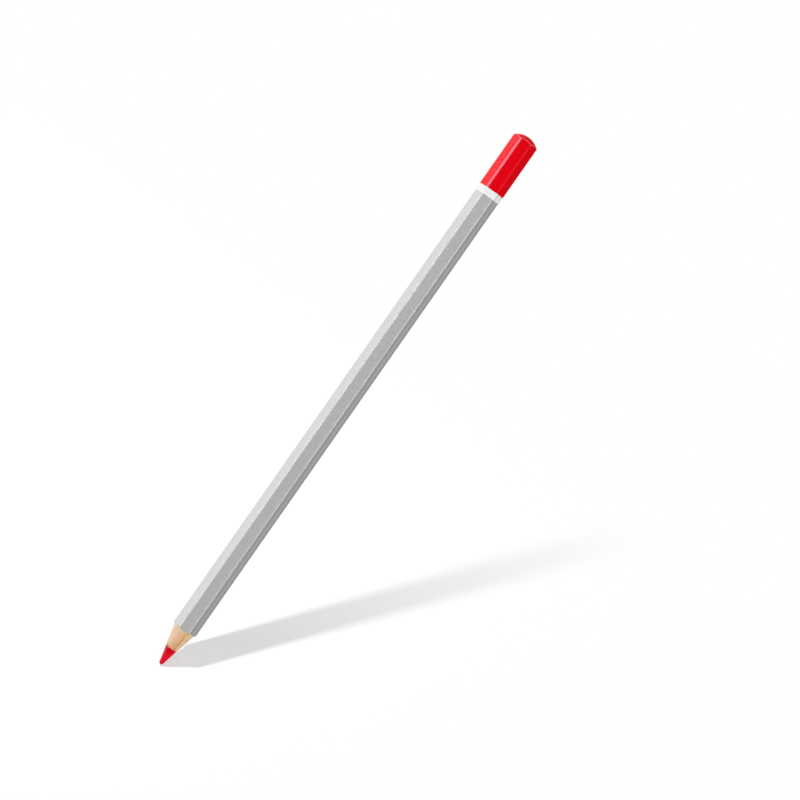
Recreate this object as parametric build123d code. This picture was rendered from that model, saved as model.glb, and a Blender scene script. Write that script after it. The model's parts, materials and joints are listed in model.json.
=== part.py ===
from build123d import *

import math
import os

# A wood-cased marking pencil. Two grooved slats are glued round a thick wax lead and planed to a
# hexagon. The casing is primed and lacquered grey. Its back end is rounded and dipped white and then red,
# so that a white ring is left showing, and its front end is milled to a point.
#
# The pencil lies along X on one flat of the hexagon, with its point towards -X and its glue seam level.
# The pieces are modelled about the X axis and raised onto the surface when they are written.
# All sizes are in millimetres.

# Whole pencil
OVERALL_LENGTH = 178.0  # from the tip of the lead to the top of the domed end

# Casing and lead
CASING_FLATS = 6.25  # bare wood, across two flats
CASING_CORNER_RADIUS = 0.6
LEAD_DIAMETER = 3.5

# Films between and over the pieces
GLUE_FILM = 0.06  # between the slats, and round the lead
PRIMER_FILM = 0.06
LACQUER_FILM = 0.10
WHITE_DIP_FILM = 0.10
RED_DIP_FILM = 0.10

# Milled point
POINT_ANGLE = 26.6  # across the whole cone, in degrees
LEAD_TIP_RADIUS = 0.64
SHOULDER_RADIUS = 2.0  # the cutter's run-out, where the cone turns up to the barrel's faces
SHOULDER_DEPTH = 0.05  # how far under the bare flats the run-out begins

# Rounded and dipped end
END_DOME_HEIGHT = 1.4  # of the lacquered casing, over its corners
RED_DIP_LENGTH = 18.0  # from the top of the dome
WHITE_RING_WIDTH = 2.15
DIP_SEAT_DEPTH = 0.02  # how far the grey lacquer is rubbed down so that the dips hold
RIM_DRAW = 4.0  # how far the wet red film draws smooth over the dome's rim, as a radius over its thickness

# Sizes that follow from the ones above
BARREL_COATS = PRIMER_FILM + LACQUER_FILM
SEAT_COATS = BARREL_COATS - DIP_SEAT_DEPTH  # what the rubbing down leaves under the dips
DIP_FILMS = WHITE_DIP_FILM + RED_DIP_FILM
LEAD_RADIUS = LEAD_DIAMETER / 2
GROOVE_RADIUS = LEAD_RADIUS + GLUE_FILM

CORNER_SLANT = math.cos(math.radians(30))  # a hexagon's half width across flats over that across corners
CASING_CORNER_REACH = (CASING_FLATS / 2 - CASING_CORNER_RADIUS) / CORNER_SLANT + CASING_CORNER_RADIUS
BARREL_CORNER_REACH = CASING_CORNER_REACH + BARREL_COATS
SEAT_CORNER_REACH = CASING_CORNER_REACH + SEAT_COATS
END_DOME_RADIUS = (END_DOME_HEIGHT**2 + SEAT_CORNER_REACH**2) / (2 * END_DOME_HEIGHT)

TIP_X = -OVERALL_LENGTH / 2
END_X = OVERALL_LENGTH / 2
STOCK_FROM_X = TIP_X - CASING_FLATS  # the stock runs past both ends, and is turned down to the pencil
STOCK_TO_X = END_X + CASING_FLATS
DOME_CENTRE_X = END_X - DIP_FILMS - END_DOME_RADIUS
RED_EDGE_X = END_X - RED_DIP_LENGTH
WHITE_EDGE_X = RED_EDGE_X - WHITE_RING_WIDTH

# The dips stand proudest, so the pencil rests on a flat of the red one
AXIS_HEIGHT = CASING_FLATS / 2 + SEAT_COATS + DIP_FILMS


def hexagonal_bar(film, x_from=STOCK_FROM_X, x_to=STOCK_TO_X):
    """The casing's hexagon grown by a film, from one station to another."""
    outline = RegularPolygon(CASING_FLATS / 2 + film, 6, major_radius=False)
    outline = fillet(outline.vertices(), CASING_CORNER_RADIUS + film)
    return extrude(Plane.YZ.offset(x_from) * outline, x_to - x_from)


def round_bar(radius):
    """A round bar on the pencil's axis, as long as the stock."""
    return extrude(Plane.YZ.offset(STOCK_FROM_X) * Circle(radius), STOCK_TO_X - STOCK_FROM_X)


def turned_envelope(film):
    """What milling the point and rounding the end leave standing, with the dome grown by a film."""
    half_angle = POINT_ANGLE / 2
    along = Vector(1, 0).rotate(Axis.Z, half_angle)
    outward = Vector(0, 1).rotate(Axis.Z, half_angle)
    dome_radius = END_DOME_RADIUS + film

    tip = Vector(TIP_X, 0)
    cone_start = Vector(TIP_X + LEAD_TIP_RADIUS, 0) + outward * LEAD_TIP_RADIUS
    cone_rise = CASING_FLATS / 2 - SHOULDER_DEPTH - cone_start.Y
    cone_end = cone_start + along * (cone_rise / along.Y)
    dome_start = Vector(DOME_CENTRE_X, dome_radius)
    dome_top = Vector(DOME_CENTRE_X + dome_radius, 0)

    # The run-out turns until it is square to the axis, and the line after it stays outside the barrel
    shoulder = JernArc(cone_end, along, SHOULDER_RADIUS, 90 - half_angle)
    outline = [
        TangentArc(tip, cone_start, tangent=(0, 1)),
        Line(cone_start, cone_end),
        shoulder,
        Line(shoulder @ 1, dome_start),
        TangentArc(dome_start, dome_top, tangent=(1, 0)),
        Line(dome_top, tip),
    ]
    # The profile stands over a flat, which keeps the turned faces' closing seams off the corners
    return revolve(Plane.XZ * make_face(outline), Axis.X)


def lacquered_bar():
    """The bar as it comes out of the lacquer, rubbed down where the dips go."""
    open_stretch = hexagonal_bar(BARREL_COATS, x_to=WHITE_EDGE_X)
    dipped_stretch = hexagonal_bar(SEAT_COATS, x_from=WHITE_EDGE_X)
    return open_stretch + dipped_stretch


def dipped_end(film, edge_x):
    """The end as it stands after a dip: the rubbed bar's end grown by a film, back to the dip's edge."""
    return hexagonal_bar(SEAT_COATS + film, x_from=edge_x) & turned_envelope(film)


def drawn_smooth(end, radius):
    """A dipped end with the rim between its dome and its faces rounded."""
    curved_edges = end.edges().filter_by(GeomType.LINE, reverse=True)
    return fillet(curved_edges.filter_by_position(Axis.X, DOME_CENTRE_X, END_X), radius)


def casing(envelope):
    """The two slats, with a half-round groove each, and the glue between them."""
    wood = (hexagonal_bar(0) & envelope) - round_bar(GROOVE_RADIUS)
    seam = wood & Box(STOCK_TO_X - STOCK_FROM_X, 2 * BARREL_CORNER_REACH, GLUE_FILM)
    front_seam, rear_seam = seam.solids().sort_by(Axis.Y)
    return {
        "upper_slat": split(wood, Plane.XY.offset(GLUE_FILM / 2), keep=Keep.TOP),
        "lower_slat": split(wood, Plane.XY.offset(-GLUE_FILM / 2), keep=Keep.BOTTOM),
        "front_seam_glue": front_seam,
        "rear_seam_glue": rear_seam,
    }


def core(envelope):
    """The lead, and the sleeve of glue that holds it in the grooves."""
    lead = round_bar(LEAD_RADIUS) & envelope
    sleeve = (round_bar(GROOVE_RADIUS) & envelope) - round_bar(LEAD_RADIUS)
    return {"lead": lead, "lead_glue": sleeve}


def coats(envelope):
    """The primer and the grey lacquer, each a hexagonal sleeve cut back by the point."""
    primer = (hexagonal_bar(PRIMER_FILM) & envelope) - hexagonal_bar(0)
    lacquer = (lacquered_bar() & envelope) - hexagonal_bar(PRIMER_FILM)
    return {"primer_coat": primer, "grey_lacquer": lacquer}


def dips(envelope):
    """The white dip over the rounded end, and the red dip that leaves a ring of it showing."""
    white_end = dipped_end(WHITE_DIP_FILM, WHITE_EDGE_X)
    red_end = drawn_smooth(dipped_end(DIP_FILMS, RED_EDGE_X), RIM_DRAW * RED_DIP_FILM)
    return {"white_dip": white_end - (lacquered_bar() & envelope), "red_dip": red_end - white_end}


def main():
    envelope = turned_envelope(0)
    pieces = casing(envelope) | core(envelope) | coats(envelope) | dips(envelope)
    os.makedirs("parts", exist_ok=True)
    for name, piece in pieces.items():
        raised = Pos(0, 0, AXIS_HEIGHT) * piece
        raised.label = name
        export_step(raised, f"parts/{name}.step")


main()
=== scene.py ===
import json
import math

import bmesh
import bpy
from mathutils import Matrix, Vector, noise

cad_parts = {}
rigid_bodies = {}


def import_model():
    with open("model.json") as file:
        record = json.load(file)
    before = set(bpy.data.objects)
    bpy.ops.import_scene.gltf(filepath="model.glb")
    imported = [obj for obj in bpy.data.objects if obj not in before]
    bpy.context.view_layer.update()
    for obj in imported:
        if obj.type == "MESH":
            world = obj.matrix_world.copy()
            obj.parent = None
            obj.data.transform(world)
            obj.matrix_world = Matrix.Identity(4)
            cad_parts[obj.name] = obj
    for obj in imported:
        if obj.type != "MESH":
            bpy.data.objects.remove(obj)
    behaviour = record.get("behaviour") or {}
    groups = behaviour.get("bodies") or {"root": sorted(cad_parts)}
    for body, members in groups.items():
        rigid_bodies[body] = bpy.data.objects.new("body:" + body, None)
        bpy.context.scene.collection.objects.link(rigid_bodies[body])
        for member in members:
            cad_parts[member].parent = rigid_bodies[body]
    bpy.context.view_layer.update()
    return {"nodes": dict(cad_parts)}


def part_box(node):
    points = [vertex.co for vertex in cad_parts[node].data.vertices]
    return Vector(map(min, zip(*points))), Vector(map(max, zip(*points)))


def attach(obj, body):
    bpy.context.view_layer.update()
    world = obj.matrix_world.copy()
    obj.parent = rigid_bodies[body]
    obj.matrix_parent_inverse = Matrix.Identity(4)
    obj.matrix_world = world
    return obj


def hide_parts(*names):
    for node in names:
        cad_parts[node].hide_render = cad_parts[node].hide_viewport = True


# A hexagonal marking pencil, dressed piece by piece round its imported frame. All sizes are in metres.
# The pencil lies along X, with its point towards -X, a corner of the hexagon to the front and the glue
# seam level.

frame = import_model()

MM = 0.001
COS_30 = math.cos(math.radians(30))
TAN_30 = math.tan(math.radians(30))
BOX_CLEARANCE = 0.001 * MM  # how far the red coat's flats stay inside the frame's box

# Places and sizes that the frame gives
LEAD_LOW, LEAD_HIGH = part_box("lead")
RED_LOW, RED_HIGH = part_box("red_dip")
WHITE_LOW, WHITE_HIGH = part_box("white_dip")
TIP_X = LEAD_LOW.x
END_X = RED_HIGH.x
RED_EDGE_X = RED_LOW.x
WHITE_EDGE_X = WHITE_LOW.x
AXIS_Z = (RED_LOW.z + RED_HIGH.z) / 2
LEAD_RADIUS = LEAD_HIGH.z - AXIS_Z
GROOVE_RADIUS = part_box("lead_glue")[1].z - AXIS_Z
CASING_HALF_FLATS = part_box("upper_slat")[1].z - AXIS_Z
PRIMED_HALF_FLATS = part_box("primer_coat")[1].z - AXIS_Z
BARREL_HALF_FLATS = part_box("grey_lacquer")[1].z - AXIS_Z
WHITE_HALF_FLATS = WHITE_HIGH.z - AXIS_Z
RED_HALF_FLATS = RED_HIGH.z - AXIS_Z - BOX_CLEARANCE
SEAM_HALF_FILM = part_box("upper_slat")[0].z - AXIS_Z
RED_FILM = RED_HALF_FLATS - WHITE_HALF_FLATS
WHITE_FILM = RED_FILM  # the two dips are equally thick

# Sizes of the forms that a box doesn't tell
CASING_CORNER_RADIUS = 0.6 * MM
POINT_SLOPE = math.radians(13.3)  # of the cone's side, from the axis
LEAD_TIP_RADIUS = 0.64 * MM
SHOULDER_RADIUS = 2.0 * MM  # the cutter's run-out behind the cone
SHOULDER_DEPTH = 0.05 * MM  # how far under the bare flats the run-out begins
RED_DOME_RADIUS = 5.67 * MM
RIM_EASE = 0.12 * MM  # how far a dip is rounded to each side of the dome's rim
LIP_EASE = 0.05 * MM  # how far a dip's edge is rounded
CUT_EASE = 0.02 * MM  # how far the milled edge of the grey lacquer is rounded

# Sizes that follow from the ones above
SHOULDER_START = CASING_HALF_FLATS - SHOULDER_DEPTH  # the radius at which the run-out begins
CONE_APEX_X = TIP_X + LEAD_TIP_RADIUS - LEAD_TIP_RADIUS / math.sin(POINT_SLOPE)
DOME_CENTRE_X = END_X - RED_DOME_RADIUS
WHITE_DOME_RADIUS = RED_DOME_RADIUS - RED_FILM
WOOD_DOME_RADIUS = WHITE_DOME_RADIUS - WHITE_FILM

# How finely the pieces are drawn
CORNER_STEPS = 8
CORNER_PROFILE = 0.536  # what makes a bevel of a 120 degree corner an arc
EDGE_PROFILE = 0.5  # the same for an edge
FLAT_CUTS = 15
WOOD_FLAT_CUTS = 31
CONE_STEPS = 40
CUT_EASE_STEPS = 2
RIM_EASE_STEPS = 5
LIP_EASE_STEPS = 3
LEAD_SIDES = 144
BALL_STEPS = 10
LEAD_CONE_STEPS = 60
SHARP_ANGLE = math.radians(35)

# The camera, from where the pencil's two ends lie in the photograph's frame of 800 by 800 pixels
PHOTO_SIDE = 800
PHOTO_TIP = Vector((160.3, 664.0))
PHOTO_END = Vector((528.6, 137.2))
PHOTO_SHADOW_END = Vector((640, 536))
CAMERA_RISE = math.radians(30.5)  # over the level of the seam
CAMERA_DISTANCE = 1.2
SENSOR_WIDTH = 36.0
FLOOR_TILT = math.radians(48)  # how steeply the camera looks down on the floor


# Forms of the pencil

def corner_radius(half_flats):
    """How far the corners of the casing, or of a coat over it, are rounded."""
    return CASING_CORNER_RADIUS + half_flats - CASING_HALF_FLATS


def milled_station(radius):
    """Where along the pencil the milled point has a radius: on its cone, or on the run-out behind it."""
    if radius <= SHOULDER_START:
        return CONE_APEX_X + radius / math.tan(POINT_SLOPE)
    turned = math.acos(math.cos(POINT_SLOPE) - (radius - SHOULDER_START) / SHOULDER_RADIUS)
    run_out = SHOULDER_RADIUS * (math.sin(turned) - math.sin(POINT_SLOPE))
    return CONE_APEX_X + SHOULDER_START / math.tan(POINT_SLOPE) + run_out


def dome_station(radius, dome_radius):
    """Where along the pencil the rounded end has a radius."""
    return DOME_CENTRE_X + math.sqrt(dome_radius**2 - radius**2)


def on_dome(radius, dome_radius):
    """The station and the radius of a point on the rounded end."""
    return dome_station(radius, dome_radius), radius


def unevenness(angle, count, seed):
    """A smooth uneven number from about -1 to 1 that goes once round the pencil, in a count of waves."""
    return 2 * noise.noise(Vector((count * math.cos(angle), count * math.sin(angle), seed)))


def wavering(level, angle, waves):
    """A level with waves on it all round the pencil, each with a size, a count and a seed."""
    for size, count, seed in waves:
        level += size * unevenness(angle, count, seed)
    return level


# Mesh steps

# Stands a flat shape square to the pencil, with its X upwards and its Y to the back
ACROSS = Matrix(((0, 0, -1, 0), (0, 1, 0, 0), (1, 0, 0, AXIS_Z), (0, 0, 0, 1)))


def hexagon(bm, half_flats, flat_cuts):
    """A loop of edges in the pencil's section, a hexagon whose corners are rounded."""
    rounding = corner_radius(half_flats)
    made = bmesh.ops.create_circle(bm, cap_ends=True, segments=6, radius=half_flats / COS_30, matrix=ACROSS)
    bmesh.ops.bevel(
        bm, geom=made["verts"], offset=rounding * TAN_30, affect="VERTICES",
        segments=CORNER_STEPS, profile=CORNER_PROFILE, material=-1)
    bmesh.ops.delete(bm, geom=bm.faces[:], context="FACES_ONLY")
    flats = [edge for edge in bm.edges if edge.calc_length() > rounding]
    bmesh.ops.subdivide_edges(bm, edges=flats, cuts=flat_cuts)
    return bm.edges[:]


def circle(bm, radius, sides):
    """A round loop of edges about the pencil's axis."""
    bmesh.ops.create_circle(bm, segments=sides, radius=radius, matrix=ACROSS)
    return bm.edges[:]


def shift(verts, move):
    """Sends each vertex to the station and radius that a rule gives for its own radius and angle."""
    for vert in verts:
        radius = math.hypot(vert.co.y, vert.co.z - AXIS_Z)
        angle = math.atan2(vert.co.z - AXIS_Z, vert.co.y)
        station, radius = move(radius, angle)
        vert.co = (station, radius * math.cos(angle), AXIS_Z + radius * math.sin(angle))


def verts_of(loop):
    return list({vert for edge in loop for vert in edge.verts})


def pulled(bm, loop, move):
    """Draws a new loop of edges out of another and shifts it."""
    made = bmesh.ops.extrude_edge_only(bm, edges=loop)["geom"]
    verts = {part for part in made if isinstance(part, bmesh.types.BMVert)}
    shift(verts, move)
    return [part for part in made if isinstance(part, bmesh.types.BMEdge) and verts.issuperset(part.verts)]


def closed_at(bm, loop, x):
    """Closes a loop in one vertex on the axis."""
    end = pulled(bm, loop, lambda radius, angle: (x, radius))
    bmesh.ops.pointmerge(bm, verts=verts_of(end), merge_co=(x, 0, AXIS_Z))


def eased(bm, edges, offset, steps):
    """Rounds edges off."""
    bmesh.ops.bevel(
        bm, geom=edges, offset=offset, affect="EDGES", segments=steps, profile=EDGE_PROFILE, material=-1)


def as_piece(bm, name, material, slot, *nodes):
    """Ends a mesh as a smooth piece that stands for its nodes of the frame."""
    mesh = bpy.data.meshes.new(name)
    bm.to_mesh(mesh)
    bm.free()
    mesh.shade_smooth()
    mesh.set_sharp_from_angle(angle=SHARP_ANGLE)
    mesh.materials.append(material)
    piece = bpy.data.objects.new(name, mesh)
    bpy.context.scene.collection.objects.link(piece)
    weighted = piece.modifiers.new("flat faces stay flat", "WEIGHTED_NORMAL")
    weighted.keep_sharp = True
    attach(piece, "root")
    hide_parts(*nodes)


# Pieces

LACQUER_CHIP = 0.07 * MM  # how far the cutter has broken the lacquer's edge back
CHIP_WAVES = ((0.6, 5, 1), (0.6, 17, 2))  # broad and fine waves in it
LIP_STATIONS = (0.3 * MM, 0.8 * MM, 2.0 * MM, 8.0 * MM)  # loops behind that edge


def broken_edge(radius, angle):
    """The lacquer's edge on the milled point, a little uneven."""
    worn = LACQUER_CHIP * wavering(1, angle, CHIP_WAVES)
    return milled_station(radius) + max(0, worn), radius


def make_grey_coat(material):
    """The grey lacquer, from its scalloped edge on the point to the rounded end under the dips."""
    bm = bmesh.new()
    edge = hexagon(bm, BARREL_HALF_FLATS, FLAT_CUTS)
    shift(verts_of(edge), broken_edge)
    loop = edge
    for behind in LIP_STATIONS:
        loop = pulled(bm, loop, lambda radius, angle: (milled_station(radius) + behind, radius))
    seat = (WHITE_HALF_FLATS - WHITE_FILM) / BARREL_HALF_FLATS
    inside = PRIMED_HALF_FLATS / (WHITE_HALF_FLATS - WHITE_FILM)
    loop = pulled(bm, loop, lambda radius, angle: (WHITE_EDGE_X, radius))
    loop = pulled(bm, loop, lambda radius, angle: (WHITE_EDGE_X, radius * seat))
    loop = pulled(bm, loop, lambda radius, angle: on_dome(radius, WOOD_DOME_RADIUS))
    loop = pulled(bm, loop, lambda radius, angle: (dome_station(radius, WOOD_DOME_RADIUS), radius * inside))
    loop = pulled(bm, loop, broken_edge)
    bmesh.ops.bridge_loops(bm, edges=edge + loop)
    bmesh.ops.recalc_face_normals(bm, faces=bm.faces[:])
    eased(bm, edge, CUT_EASE, CUT_EASE_STEPS)
    as_piece(bm, "grey_lacquer_coat", material, "grey_lacquer", "grey_lacquer")


DIP_SWING = 0.02 * MM  # how unevenly a dip's edge has run
DIP_WAVES = 2
DIP_STATIONS = (0.3 * MM, 1.0 * MM, 2.0 * MM)  # loops behind that edge
DOME_SHARES = (0.86, 0.84, 0.8, 0.75, 0.7, 0.6, 0.45)  # each dome loop's radius, as a share of the last one's


def make_dip(name, material, slot, half_flats, film, edge_x, dome_radius, seed):
    """A coat that the domed end was dipped in, with a soft edge and a rounded rim."""
    def uneven_edge(radius, angle):
        return edge_x + DIP_SWING * unevenness(angle, DIP_WAVES, seed), radius

    bm = bmesh.new()
    edge = hexagon(bm, half_flats, FLAT_CUTS)
    shift(verts_of(edge), uneven_edge)
    loop = edge
    for behind in DIP_STATIONS:
        loop = pulled(bm, loop, lambda radius, angle: (edge_x + behind, radius))
    rim = pulled(bm, loop, lambda radius, angle: on_dome(radius, dome_radius))
    loop = rim
    for share in DOME_SHARES:
        loop = pulled(bm, loop, lambda radius, angle: on_dome(radius * share, dome_radius))
    closed_at(bm, loop, DOME_CENTRE_X + dome_radius)
    eased(bm, rim, RIM_EASE, RIM_EASE_STEPS)
    bmesh.ops.recalc_face_normals(bm, faces=bm.faces[:])
    bmesh.ops.solidify(bm, geom=bm.faces[:], thickness=film)
    eased(bm, edge, LIP_EASE, LIP_EASE_STEPS)
    as_piece(bm, f"{name}_coat", material, slot, name)


FEATHER_CHIP = 0.30 * MM  # how far the thin wood beside the lead has broken back
TEETH_LEVEL = 0.4  # the share of that at most places
TEETH_WAVES = ((0.8, 4, 5), (0.5, 11, 6))  # broad and fine waves in it
FEATHER_BITE = 0.45 * MM  # how much further it has at one place
BITE_ANGLE = math.radians(60)
BITE_REACH = math.radians(45)


def feather_edge(angle):
    """Where the wood ends on the lead, all round: a feather edge that broke off in small teeth."""
    teeth = wavering(TEETH_LEVEL, angle, TEETH_WAVES)
    bite = max(0, 1 - abs(angle - BITE_ANGLE) / BITE_REACH)
    return milled_station(GROOVE_RADIUS) + FEATHER_CHIP * min(1, max(0, teeth)) + FEATHER_BITE * bite


def make_slat(name, material, side):
    """One slat of the casing, above (1) or below (-1) the seam, with its point, groove and planed faces."""
    bm = bmesh.new()
    scallop = hexagon(bm, CASING_HALF_FLATS, WOOD_FLAT_CUTS)
    shift(verts_of(scallop), lambda radius, angle: (milled_station(radius), radius))
    loop = scallop
    for steps_left in range(CONE_STEPS, 0, -1):
        def inwards(radius, angle):
            nearer = radius + (GROOVE_RADIUS - radius) / steps_left
            return max(milled_station(nearer), feather_edge(angle)), nearer
        loop = pulled(bm, loop, inwards)
    groove_end = pulled(bm, loop, lambda radius, angle: on_dome(radius, WOOD_DOME_RADIUS))
    back_end = pulled(bm, scallop, lambda radius, angle: on_dome(radius, WOOD_DOME_RADIUS))
    bmesh.ops.bridge_loops(bm, edges=groove_end + back_end)
    cut = bmesh.ops.bisect_plane(
        bm, geom=bm.verts[:] + bm.edges[:] + bm.faces[:], plane_co=(0, 0, AXIS_Z + side * SEAM_HALF_FILM),
        plane_no=(0, 0, side), clear_inner=True)
    cut_edges = [part for part in cut["geom_cut"] if isinstance(part, bmesh.types.BMEdge)]
    bmesh.ops.edgeloop_fill(bm, edges=cut_edges)
    bmesh.ops.recalc_face_normals(bm, faces=bm.faces[:])
    as_piece(bm, f"{name}_wood", material, "cedar", name)


FACET_DEPTH = 0.018 * MM  # how deep the cutter's facets lie in the lead
FACET_COUNT = 2.2  # waves of them round the lead
FACET_RUN = 0.35 / MM  # and along it


def make_lead(material):
    """The lead: a worn ball of a tip, a cone cut in faint facets, and the rod inside the casing."""
    bm = bmesh.new()
    tip_turn = math.pi / 2 - POINT_SLOPE

    def on_ball(step):
        turn = tip_turn * step / BALL_STEPS
        return TIP_X + LEAD_TIP_RADIUS * (1 - math.cos(turn)), LEAD_TIP_RADIUS * math.sin(turn)

    def on_cone(step, angle):
        start = on_ball(BALL_STEPS)[1]
        radius = start + (LEAD_RADIUS - start) * step / LEAD_CONE_STEPS
        station = milled_station(radius)
        facet = (1 + unevenness(angle, FACET_COUNT, FACET_RUN * (station - TIP_X))) / 2
        fading = math.sin(math.pi * step / LEAD_CONE_STEPS)
        return station, radius - FACET_DEPTH * fading * facet

    first = circle(bm, on_ball(1)[1], LEAD_SIDES)
    shift(verts_of(first), lambda radius, angle: on_ball(1))
    closed_at(bm, first, TIP_X)
    loop = first
    for step in range(2, BALL_STEPS + 1):
        loop = pulled(bm, loop, lambda radius, angle: on_ball(step))
    for step in range(1, LEAD_CONE_STEPS + 1):
        loop = pulled(bm, loop, lambda radius, angle: on_cone(step, angle))
    loop = pulled(bm, loop, lambda radius, angle: on_dome(LEAD_RADIUS, WOOD_DOME_RADIUS))
    closed_at(bm, loop, DOME_CENTRE_X + WOOD_DOME_RADIUS)
    bmesh.ops.recalc_face_normals(bm, faces=bm.faces[:])
    as_piece(bm, "lead_core", material, "red_wax", "lead")


# Steps in a finish

def supply(tree, socket, value):
    """Gives an input a value or another node's socket."""
    if isinstance(value, bpy.types.NodeSocket):
        tree.links.new(value, socket)
    else:
        socket.default_value = value


def feed(tree, node, **inputs):
    """Supplies a node's inputs by their names."""
    for name, value in inputs.items():
        supply(tree, node.inputs[name.replace("_", " ")], value)


def add(tree, kind, settings=(), **inputs):
    """A shader node with its settings and its inputs."""
    node = tree.nodes.new("ShaderNode" + kind)
    for name, value in dict(settings).items():
        setattr(node, name, value)
    feed(tree, node, **inputs)
    return node


def new_finish(name):
    """An empty material, with its shader."""
    material = bpy.data.materials.new(name)
    material.use_nodes = True
    tree = material.node_tree
    return material, tree, tree.nodes["Principled BSDF"]


def rgb(red, green, blue):
    return (red, green, blue, 1.0)


def darkened(colour, loss):
    """A colour that has lost a share of its light."""
    return rgb(*((1 - loss) * channel for channel in colour[:3]))


def own_place(tree):
    """A point of the surface, in the piece's own coordinates."""
    return add(tree, "TexCoord").outputs["Object"]


def facing(tree):
    """The direction that the surface faces."""
    return add(tree, "NewGeometry").outputs["Normal"]


def share_along(tree, vector, axis):
    """A vector's share along an axis."""
    return add(tree, "SeparateXYZ", Vector=vector).outputs[axis]


def spots(tree, scale, detail=2.0, stretch=(1, 1, 1)):
    """Noise on the piece's own coordinates, in features per metre, drawn out along an axis where asked."""
    mapped = add(tree, "Mapping", Vector=own_place(tree), Scale=stretch)
    return add(tree, "TexNoise", Vector=mapped.outputs["Vector"], Scale=scale, Detail=detail).outputs["Fac"]


def between(tree, value, low, high, to_low=0.0, to_high=1.0):
    """A value taken from one range to another, and held there."""
    made = add(tree, "MapRange", Value=value, From_Min=low, From_Max=high, To_Min=to_low, To_Max=to_high)
    return made.outputs["Result"]


def blended(tree, share, first, second):
    """A colour between two others."""
    made = add(tree, "Mix", {"data_type": "RGBA"})
    for socket, value in ((0, share), (6, first), (7, second)):
        supply(tree, made.inputs[socket], value)
    return made.outputs[2]


def joined(tree, operation, first, second):
    """One number from two."""
    node = add(tree, "Math", {"operation": operation})
    tree.links.new(first, node.inputs[0])
    tree.links.new(second, node.inputs[1])
    return node.outputs[0]


def product(tree, first, second):
    return joined(tree, "MULTIPLY", first, second)


def larger(tree, first, second):
    return joined(tree, "MAXIMUM", first, second)


def length(tree, vector):
    return add(tree, "VectorMath", {"operation": "LENGTH"}, Vector=vector).outputs["Value"]


def relief(tree, height, depth):
    """A bump of a real depth."""
    return add(tree, "Bump", Height=height, Distance=depth, Strength=1.0).outputs["Normal"]


def reach_from_axis(tree):
    """How far a point of the surface is from the pencil's axis."""
    centred = add(tree, "Mapping", Vector=own_place(tree), Location=(0, 0, -AXIS_Z), Scale=(0, 1, 1))
    return length(tree, centred.outputs["Vector"])


def height_over_seam(tree):
    """How far a point of the surface is above the level of the seam."""
    level = add(tree, "Mapping", Vector=own_place(tree), Location=(0, 0, -AXIS_Z))
    return share_along(tree, level.outputs["Vector"], "Z")


# Finishes

RIM_DEPTHS = (0.22 * MM, 0.05 * MM)  # inside the dome's sphere, where the painted highlight on the rim fades in
RIM_TURNS = (0.40, 0.62)  # the share of the surface's direction along the pencil, where it fades out
# How strong the painted highlight on the rim is
RIM_HIGHLIGHT = 0.6


def dome_rim_highlight(tree):
    """A painted highlight on the red dip's rim: as far from the dome's centre as the dome, but not yet facing
    along the pencil.
    """
    centred = add(tree, "Mapping", Vector=own_place(tree), Location=(-DOME_CENTRE_X, 0, -AXIS_Z))
    reach = length(tree, centred.outputs["Vector"])
    along = share_along(tree, centred.outputs["Vector"], "X")
    near = between(tree, reach, *(RED_DOME_RADIUS - depth for depth in RIM_DEPTHS))
    near = product(tree, near, between(tree, along, 0.0, RED_DOME_RADIUS / 2))
    return product(tree, near, between(tree, share_along(tree, facing(tree), "X"), *RIM_TURNS, RIM_HIGHLIGHT, 0.0))


# Painted highlights and shade on a lacquer's corners. Depths lie inside a corner and are shares of its
# radius.
# Heights lie over the seam and are shares of half the flats. Turns are the upward share of the surface's
# direction.
TOP_FADE_DEPTH = 0.10
TOP_FADE_TURN = 0.20
TOP_HEIGHTS = (0.3, 0.9)
SIDE_DEPTHS = (0.12, 0.04)
SIDE_HEIGHTS = (0.3, 0.6)
SIDE_TURNS = (-0.10, 0.12)
# Painted shade: darker lacquer beside the corners, where the surface faces downwards
SHADE_DEPTHS = (0.56, 0.37)
SHADE_TURNS = (-0.18, 0.02)

DASH_LEVELS = (0.42, 0.60)  # of the noise that breaks the painted highlights on the corners into dashes
STREAK_LOSS = 0.03
PALE_GRAIN_LEVELS = (0.70, 0.78)  # of the noise that the dust is drawn from
DARK_GRAIN_LEVELS = (0.30, 0.22)
GLOSS_SWING = 0.03
PEEL_DEPTH = 0.0006 * MM
MIDDLE_LEVELS = (0.3, 0.7)  # what most of a noise lies between


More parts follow.
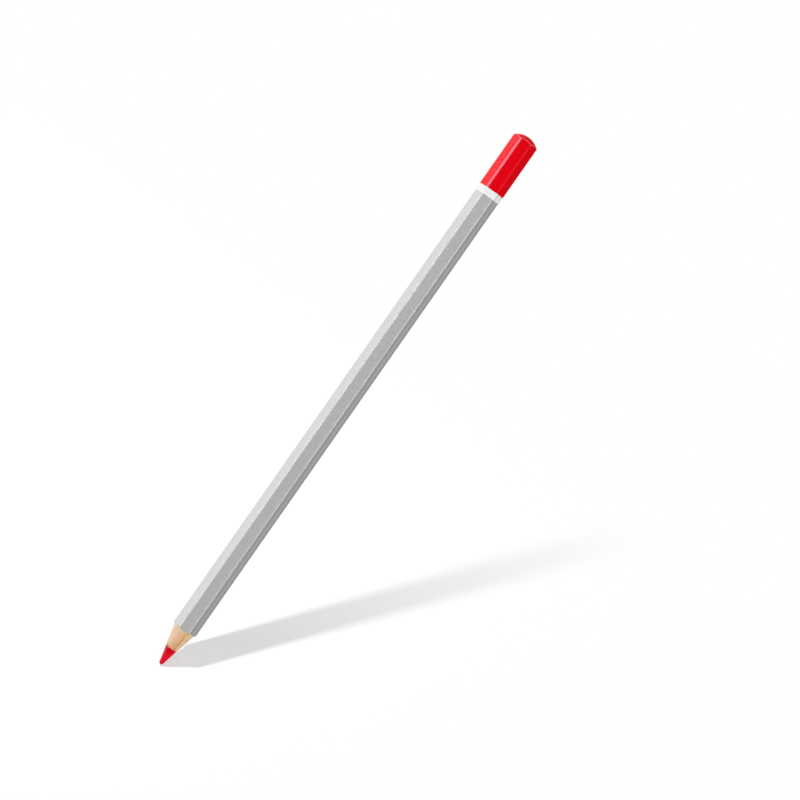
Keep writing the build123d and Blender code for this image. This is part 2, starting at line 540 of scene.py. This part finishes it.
def lacquer(
        name, body, highlight_and_dust, half_flats, roughness, specular, side_highlight, top_highlight, top_depth, top_turn, broken,
        shade_loss, metal=0.0, dust=0.0):
    """A sprayed or dipped lacquer with a faint peel, a faint streak and dust.

    Its rim and its corners carry a painted highlight in broken dashes, the upper corners from a depth up to a
    turn, and the side corners on their upper half. On the corners' lower side, painted shade makes it darker.
    """
    material, tree, shader = new_finish(name)
    rounding = corner_radius(half_flats)
    corner_reach = half_flats / COS_30 - rounding * (1 / COS_30 - 1)

    def in_corner(depths):
        return [corner_reach - depth * rounding for depth in depths]

    def up_side(heights):
        return [height * half_flats for height in heights]

    reach = reach_from_axis(tree)
    height = height_over_seam(tree)
    upwards = share_along(tree, facing(tree), "Z")
    # Painted highlight: paler colour on the upper corners and on the upper half of the side corners
    top_edge = between(tree, reach, *in_corner((top_depth, top_depth - TOP_FADE_DEPTH)))
    top_edge = product(tree, top_edge, between(tree, upwards, top_turn - TOP_FADE_TURN, top_turn, 1.0, 0.0))
    top_edge = product(tree, top_edge, between(tree, height, *up_side(TOP_HEIGHTS), 0.0, top_highlight))
    side_edge = between(tree, reach, *in_corner(SIDE_DEPTHS))
    side_edge = product(tree, side_edge, between(tree, height, *up_side(SIDE_HEIGHTS), side_highlight, 0.0))
    side_edge = product(tree, side_edge, between(tree, upwards, *SIDE_TURNS))
    dashes = between(tree, spots(tree, scale=2400, stretch=(0.5, 1, 1)), *DASH_LEVELS, 1 - broken, 1.0)
    corner_highlight = product(tree, larger(tree, top_edge, side_edge), dashes)
    # Painted shade beside the corners, where the surface faces downwards
    shade_mask = between(tree, reach, *in_corner(SHADE_DEPTHS))
    shade_mask = product(tree, shade_mask, between(tree, upwards, *SHADE_TURNS, 1.0, 0.0))
    streak = between(tree, spots(tree, scale=500, stretch=(0.05, 1, 1)), *MIDDLE_LEVELS)
    colour = blended(tree, streak, darkened(body, STREAK_LOSS), body)
    colour = blended(tree, shade_mask, colour, darkened(body, shade_loss))
    # Painted highlight on the corners, broken into dashes, and on the rim
    colour = blended(tree, larger(tree, corner_highlight, dome_rim_highlight(tree)), colour, highlight_and_dust)
    grains = spots(tree, scale=2600, detail=0.0)
    colour = blended(tree, between(tree, grains, *PALE_GRAIN_LEVELS, 0.0, dust), colour, highlight_and_dust)
    colour = blended(tree, between(tree, grains, *DARK_GRAIN_LEVELS, 0.0, dust), colour, DUST)
    gloss = between(
        tree, spots(tree, scale=700), *MIDDLE_LEVELS, roughness - GLOSS_SWING, roughness + GLOSS_SWING)
    peel = relief(tree, spots(tree, scale=900), PEEL_DEPTH)
    feed(tree, shader, Base_Color=colour, Roughness=gloss, Normal=peel, Specular_IOR_Level=specular,
         Metallic=metal)
    return material


RING_LEVELS = (0.1, 1.0)
RING_SHARE = 0.4  # how far the growth rings, the fibres and the pores darken the wood
FIBRE_LEVELS = (0.35, 0.7)
FIBRE_SHARE = 0.45
PORE_LEVELS = (0.60, 0.72)
PORE_SHARE = 0.5
TOP_LIGHT_HEIGHTS = (0.4 * MM, 2.3 * MM)  # over the seam, where painted light makes the wood paler towards the top
TOP_LIGHT_SHARE = 0.8
STAIN_ABOVE = (0.05 * MM, 0.30 * MM)  # over the seam, where the stain of glue fades out
STAIN_BELOW = (-0.05 * MM, -0.15 * MM)
STAIN_SHARE = 0.9
SQUEEZED_RADIUS = 2.6 * MM  # of the cone, from which squeezed-out glue shows up to the scallops
GRAIN_DEPTH = 0.012 * MM


def wood(name, pale, dark, top_light, turn):
    """Cut cedar: growth rings, fine fibres along them, glue soaked in beside the seam, and painted light,
    paler upwards.
    """
    material, tree, shader = new_finish(name)
    turned = add(tree, "Mapping", Vector=own_place(tree), Rotation=(turn, 0, 0), Location=(0, 0, -AXIS_Z))
    rings = add(
        tree, "TexWave", {"wave_type": "BANDS", "bands_direction": "Y", "wave_profile": "SAW"},
        Vector=turned.outputs["Vector"], Scale=480, Distortion=2.5, Detail=2, Detail_Scale=0.35)
    fibre = spots(tree, scale=5200, detail=4.0, stretch=(0.035, 1, 1))
    pores = spots(tree, scale=7000, stretch=(0.08, 1, 1))
    tone = blended(tree, between(tree, rings.outputs["Fac"], *RING_LEVELS, 0.0, RING_SHARE), pale, dark)
    tone = blended(tree, between(tree, fibre, *FIBRE_LEVELS, 0.0, FIBRE_SHARE), tone, dark)
    tone = blended(tree, between(tree, pores, *PORE_LEVELS, 0.0, PORE_SHARE), tone, PORE)
    height = height_over_seam(tree)
    # Painted light: the wood gets paler towards the top
    tone = blended(tree, between(tree, height, *TOP_LIGHT_HEIGHTS, 0.0, TOP_LIGHT_SHARE), tone, top_light)
    above = between(tree, height, *STAIN_ABOVE, STAIN_SHARE, 0.0)
    below = between(tree, height, *STAIN_BELOW, 1.0, 0.0)
    along = share_along(tree, own_place(tree), "X")
    squeezed = between(tree, along, milled_station(SQUEEZED_RADIUS), milled_station(CASING_HALF_FLATS))
    stain = blended(tree, squeezed, GLUE_STAIN, GLUE_SQUEEZED)
    tone = blended(tree, product(tree, above, below), tone, stain)
    feed(tree, shader, Base_Color=tone, Roughness=0.62, Normal=relief(tree, fibre, GRAIN_DEPTH),
         Specular_IOR_Level=0.15)
    return material


SCRAPE_LEVELS = (0.56, 0.75)
SCRAPE_SHARE = 0.5
LEAD_SHADE_RADIUS = 0.7 * LEAD_RADIUS  # of the cone, from which painted shade darkens the lead up to the wood
LEAD_SHADE_SHARE = 0.7
TURNING_GLOSS = (0.20, 0.32)  # the roughness of the turning lines
TURNING_DEPTH = 0.004 * MM


def wax(name):
    """The red wax lead: a satin cut face with fine turning lines, a few paler scrapes and painted shade
    towards the wood.
    """
    material, tree, shader = new_finish(name)
    lines = spots(tree, scale=5000, detail=3.0, stretch=(1, 0.12, 0.12))
    scrapes = spots(tree, scale=900, detail=3.0, stretch=(0.4, 1, 1))
    along = share_along(tree, own_place(tree), "X")
    # Painted shade: the lead darkens towards the wood
    lead_shading = between(tree, along, milled_station(LEAD_SHADE_RADIUS), milled_station(LEAD_RADIUS), 0.0, LEAD_SHADE_SHARE)
    colour = blended(tree, between(tree, scrapes, *SCRAPE_LEVELS, 0.0, SCRAPE_SHARE), LEAD_RED, LEAD_SCRAPE)
    colour = blended(tree, lead_shading, colour, LEAD_SHADE)
    feed(tree, shader, Base_Color=colour, Roughness=between(tree, lines, *MIDDLE_LEVELS, *TURNING_GLOSS),
         Normal=relief(tree, lines, TURNING_DEPTH), Specular_IOR_Level=0.17, Subsurface_Weight=0.08,
         Subsurface_Radius=(0.6, 0.05, 0.05), Subsurface_Scale=0.4 * MM)
    return material


SMEAR_LEVELS = (0.45, 0.55)
SMEAR_DEPTH = 0.004 * MM


def cut_film(name, colour, smear, roughness):
    """Glue or primer, which shows only where the point was cut through it, smeared by what lies beside it."""
    material, tree, shader = new_finish(name)
    mottle = between(tree, spots(tree, scale=2200), *SMEAR_LEVELS)
    feed(tree, shader, Base_Color=blended(tree, mottle, colour, smear), Roughness=roughness,
         Normal=relief(tree, mottle, SMEAR_DEPTH), Specular_IOR_Level=0.15)
    return material


PURE_WHITE = rgb(1, 1, 1)
GREY = rgb(0.48, 0.48, 0.48)
# The paler grey is a painted highlight on the corners and the rim, and also the colour of pale dust
GREY_HIGHLIGHT_AND_DUST = rgb(0.80, 0.80, 0.80)
DUST = rgb(0.28, 0.28, 0.28)
WHITE = rgb(0.73, 0.73, 0.72)
# The paler white is a painted highlight on the corners
WHITE_HIGHLIGHT = rgb(0.86, 0.86, 0.85)
RED = rgb(0.81, 0.0006, 0.007)
# The pink is a painted highlight on the red's corners and rim
RED_HIGHLIGHT = rgb(1.0, 0.25, 0.31)
UPPER_PALE = rgb(0.67, 0.37, 0.175)
UPPER_DARK = rgb(0.50, 0.26, 0.115)
# Painted light: the paler tone that the upper slat takes towards the top
UPPER_TOP_LIGHT = rgb(0.76, 0.56, 0.40)
LOWER_PALE = rgb(0.64, 0.45, 0.30)
LOWER_DARK = rgb(0.52, 0.33, 0.185)
PORE = rgb(0.40, 0.21, 0.10)
GLUE_STAIN = rgb(0.31, 0.18, 0.06)
GLUE_SQUEEZED = rgb(0.52, 0.40, 0.08)
GLUE = rgb(0.30, 0.21, 0.055)
GLUE_PALE = rgb(0.50, 0.38, 0.14)
WAX_SMEAR = rgb(0.50, 0.004, 0.012)
PRIMER = rgb(0.78, 0.56, 0.36)
PRIMER_PALE = rgb(0.82, 0.66, 0.48)
LEAD_RED = rgb(0.66, 0.001, 0.014)
LEAD_SCRAPE = rgb(0.78, 0.010, 0.040)
# Painted shade on the lead beside the wood
LEAD_SHADE = rgb(0.40, 0.0, 0.010)


# Build

grey = lacquer(
    "grey lacquer", GREY, GREY_HIGHLIGHT_AND_DUST, BARREL_HALF_FLATS, roughness=0.32, specular=0.5, side_highlight=0.11,
    top_highlight=1.0, top_depth=0.20, top_turn=0.86, broken=0.08, shade_loss=0.27, metal=0.30, dust=0.10)
white = lacquer(
    "white lacquer", WHITE, WHITE_HIGHLIGHT, WHITE_HALF_FLATS, roughness=0.22, specular=0.2, side_highlight=0.0,
    top_highlight=0.8, top_depth=0.20, top_turn=0.86, broken=0.1, shade_loss=0.22)
red = lacquer(
    "red lacquer", RED, RED_HIGHLIGHT, RED_HALF_FLATS, roughness=0.24, specular=0.04, side_highlight=0.05,
    top_highlight=1.0, top_depth=0.205, top_turn=0.97, broken=0.15, shade_loss=0.10)
upper_cedar = wood("upper slat cedar", UPPER_PALE, UPPER_DARK, UPPER_TOP_LIGHT, turn=math.radians(35))
lower_cedar = wood("lower slat cedar", LOWER_PALE, LOWER_DARK, LOWER_PALE, turn=math.radians(-20))
make_grey_coat(grey)
make_dip(
    "white_dip", white, "white_lacquer", WHITE_HALF_FLATS, WHITE_FILM, WHITE_EDGE_X, WHITE_DOME_RADIUS,
    seed=11)
make_dip("red_dip", red, "red_lacquer", RED_HALF_FLATS, RED_FILM, RED_EDGE_X, RED_DOME_RADIUS, seed=12)
make_slat("upper_slat", upper_cedar, side=1)
make_slat("lower_slat", lower_cedar, side=-1)
make_lead(wax("red wax"))

seam_glue = cut_film("cured glue", GLUE, GLUE_PALE, roughness=0.5)
CUT_FILMS = {
    "front_seam_glue": seam_glue,
    "rear_seam_glue": seam_glue,
    "lead_glue": cut_film("glue smeared with wax", UPPER_PALE, WAX_SMEAR, roughness=0.5),
    "primer_coat": cut_film("primer", PRIMER, PRIMER_PALE, roughness=0.6),
}
for node, finish in CUT_FILMS.items():
    for surface in frame["nodes"][node].material_slots:
        surface.material = finish


# Studio

MIDDLE = Vector((0, 0, AXIS_Z))
TIP = Vector((TIP_X, 0, AXIS_Z))
END = Vector((END_X, 0, AXIS_Z))
METRES_PER_PIXEL = (END_X - TIP_X) / (PHOTO_END - PHOTO_TIP).length
PHOTO_LEAN = math.atan2(PHOTO_TIP.y - PHOTO_END.y, PHOTO_END.x - PHOTO_TIP.x)  # the pencil's slope there
TOWARDS_CAMERA = Vector((0, -math.cos(CAMERA_RISE), math.sin(CAMERA_RISE)))
PENCIL_RIGHT = Vector((1, 0, 0))
PENCIL_UP = TOWARDS_CAMERA.cross(PENCIL_RIGHT)
PHOTO_RIGHT = math.cos(PHOTO_LEAN) * PENCIL_RIGHT - math.sin(PHOTO_LEAN) * PENCIL_UP
PHOTO_UP = math.sin(PHOTO_LEAN) * PENCIL_RIGHT + math.cos(PHOTO_LEAN) * PENCIL_UP
FLOOR_NORMAL = math.cos(FLOOR_TILT) * PHOTO_UP + math.sin(FLOOR_TILT) * TOWARDS_CAMERA


def standing(place, right, towards):
    """A matrix that puts a thing at a place, with its X along one direction and its Z along another."""
    towards = towards.normalized()
    right = (right - towards * right.dot(towards)).normalized()
    turn = Matrix((right, towards.cross(right), towards)).transposed().to_4x4()
    return Matrix.Translation(place) @ turn


def make_camera():
    """A long lens, square on the pencil, turned so that its ends fall where the photograph has them."""
    middle = (PHOTO_TIP + PHOTO_END) / 2
    right = (PHOTO_SIDE / 2 - middle.x) * METRES_PER_PIXEL
    up = (middle.y - PHOTO_SIDE / 2) * METRES_PER_PIXEL
    place = MIDDLE + right * PHOTO_RIGHT + up * PHOTO_UP + CAMERA_DISTANCE * TOWARDS_CAMERA
    data = bpy.data.cameras.new("camera")
    data.sensor_width = SENSOR_WIDTH
    data.lens = SENSOR_WIDTH * CAMERA_DISTANCE / (PHOTO_SIDE * METRES_PER_PIXEL)
    camera = bpy.data.objects.new("camera", data)
    camera.matrix_world = standing(place, PHOTO_RIGHT, TOWARDS_CAMERA)
    bpy.context.scene.collection.objects.link(camera)
    bpy.context.scene.camera = camera


def key_direction():
    """Where the key lamp stands, from where the shadow of the pencil's end falls on the floor."""
    right = (PHOTO_SHADOW_END.x - PHOTO_TIP.x) * METRES_PER_PIXEL
    up = (PHOTO_TIP.y - PHOTO_SHADOW_END.y) * METRES_PER_PIXEL
    shadow_end = TIP + right * PHOTO_RIGHT + up * PHOTO_UP - up / math.tan(FLOOR_TILT) * TOWARDS_CAMERA
    return END - shadow_end


def mixed_shaders(tree, kind, first, second, **inputs):
    """Two shaders taken together by a node."""
    node = add(tree, kind, **inputs)
    sockets = [socket for socket in node.inputs if socket.type == "SHADER"]
    tree.links.new(first.outputs[0], sockets[0])
    tree.links.new(second.outputs[0], sockets[1])
    return node


def make_softbox(name, direction, distance, along, wide, brightness, lights, mirrored=True):
    """A lamp that lights a white card beside the pencil, held square to it, to a brightness."""
    data = bpy.data.lights.new(name, "AREA")
    data.shape = "RECTANGLE"
    data.size = along
    data.size_y = wide
    data.energy = brightness * (math.pi * distance) ** 2
    lamp = bpy.data.objects.new(name, data)
    lamp.matrix_world = standing(MIDDLE + direction.normalized() * distance, PENCIL_RIGHT, direction)
    lamp.visible_camera = False
    lamp.visible_glossy = mirrored
    lamp.light_linking.receiver_collection = lights
    bpy.context.scene.collection.objects.link(lamp)


FLOOR_SIDE = 3.0
FLOOR_GREY = rgb(0.30, 0.30, 0.30)
FLOOR_GLOW = 0.60
FADE_FROM_X = TIP_X + 18 * MM  # where the shadow begins to fade into the white
FADE_TO_X = TIP_X + 108 * MM


def make_floor():
    """The white floor that the tip touches. Only the camera sees it, and from its upper side alone."""
    material = bpy.data.materials.new("floor")
    material.use_nodes = True
    tree = material.node_tree
    tree.nodes.clear()
    lit = mixed_shaders(
        tree, "AddShader", add(tree, "BsdfDiffuse", Color=FLOOR_GREY),
        add(tree, "Emission", Color=PURE_WHITE, Strength=FLOOR_GLOW))
    along = share_along(tree, own_place(tree), "X")
    faded = mixed_shaders(
        tree, "MixShader", lit, add(tree, "Emission", Color=PURE_WHITE, Strength=1.0),
        Fac=between(tree, along, FADE_FROM_X, FADE_TO_X))
    sides = mixed_shaders(
        tree, "MixShader", faded, add(tree, "BsdfTransparent"),
        Fac=add(tree, "NewGeometry").outputs["Backfacing"])
    add(tree, "OutputMaterial", Surface=sides.outputs[0])
    ball_centre = TIP + Vector((LEAD_TIP_RADIUS, 0, 0))
    level = standing(ball_centre - FLOOR_NORMAL * LEAD_TIP_RADIUS, PENCIL_RIGHT, FLOOR_NORMAL)
    bm = bmesh.new()
    bmesh.ops.create_grid(bm, x_segments=1, y_segments=1, size=FLOOR_SIDE / 2, matrix=level)
    mesh = bpy.data.meshes.new("floor")
    bm.to_mesh(mesh)
    bm.free()
    mesh.materials.append(material)
    floor = bpy.data.objects.new("floor", mesh)
    bpy.context.scene.collection.objects.link(floor)
    floor.visible_diffuse = False
    floor.visible_glossy = False
    floor.visible_transmission = False
    floor.visible_shadow = False


WORLD_FILL = 0.32
ROOM_DIMNESS = 0.05  # how bright the room on the camera's side is in reflections
BACKDROP_FROM = 0.3  # how far to the back a direction points where the backdrop begins to show
BACKDROP_FULL = 0.8


def make_world():
    """White to the eye, a white backdrop and a dim room in reflections, and a soft fill otherwise."""
    world = bpy.data.worlds.new("studio")
    world.use_nodes = True
    tree = world.node_tree
    tree.nodes.clear()
    path = add(tree, "LightPath")
    backwards = share_along(tree, add(tree, "TexCoord").outputs["Generated"], "Y")
    backdrop = between(tree, backwards, BACKDROP_FROM, BACKDROP_FULL, ROOM_DIMNESS, 1.0)
    mirrored = add(tree, "Background", Color=PURE_WHITE, Strength=backdrop)
    bright = add(tree, "Background", Color=PURE_WHITE, Strength=1.0)
    sky = add(tree, "Background", Color=PURE_WHITE, Strength=WORLD_FILL)
    rays = (("Is Glossy Ray", mirrored), ("Is Transmission Ray", bright), ("Is Camera Ray", bright))
    for ray, shade in rays:
        sky = mixed_shaders(tree, "MixShader", sky, shade, Fac=path.outputs[ray])
    add(tree, "OutputWorld", Surface=sky.outputs[0])
    bpy.context.scene.world = world


make_camera()
make_floor()
make_world()
pencil = bpy.data.collections.new("pencil")
table = bpy.data.collections.new("table")
red_end = bpy.data.collections.new("red end")
barrel = bpy.data.collections.new("barrel")
for thing in bpy.context.scene.objects:
    if thing.name == "floor":
        table.objects.link(thing)
    elif thing.type == "MESH":
        pencil.objects.link(thing)
        (red_end if thing.name == "red_dip_coat" else barrel).objects.link(thing)

# The red end has softboxes of its own, because its deep red shows stray reflections more than the grey does
OVERHEAD = Vector((0, -0.57, 0.82))
BEHIND = Vector((0, 0.375, 0.927))
BEHIND_RED = Vector((0, 0.70, 0.71))
IN_FRONT = Vector((0.20, -0.975, 0.09))
IN_FRONT_RED = Vector((0, -0.995, 0.095))
BELOW = Vector((0, -0.80, -0.60))
make_softbox("key lamp", key_direction(), 2.0, along=0.40, wide=0.40, brightness=0.30, lights=pencil)
make_softbox("floor lamp", key_direction(), 2.0, along=0.10, wide=0.10, brightness=1.36, lights=table)
make_softbox("overhead strip", OVERHEAD, 0.6, along=0.8, wide=0.06, brightness=0.25, lights=pencil)
make_softbox("back softbox", BEHIND, 0.6, along=0.8, wide=0.8, brightness=0.97, lights=barrel)
make_softbox("back softbox for the red", BEHIND_RED, 0.6, along=0.8, wide=0.7, brightness=1.1, lights=red_end)
make_softbox("front softbox", IN_FRONT, 0.7, along=0.7, wide=0.36, brightness=0.26, lights=barrel)
make_softbox(
    "front softbox for the red", IN_FRONT_RED, 0.7, along=0.9, wide=0.36, brightness=0.29, lights=red_end,
    mirrored=False)
make_softbox("low fill", BELOW, 0.7, along=0.9, wide=0.30, brightness=0.94, lights=barrel, mirrored=False)
make_softbox(
    "low fill for the red", BELOW, 0.7, along=0.9, wide=0.30, brightness=0.44, lights=red_end, mirrored=False)
bpy.context.scene.view_settings.view_transform = "Standard"
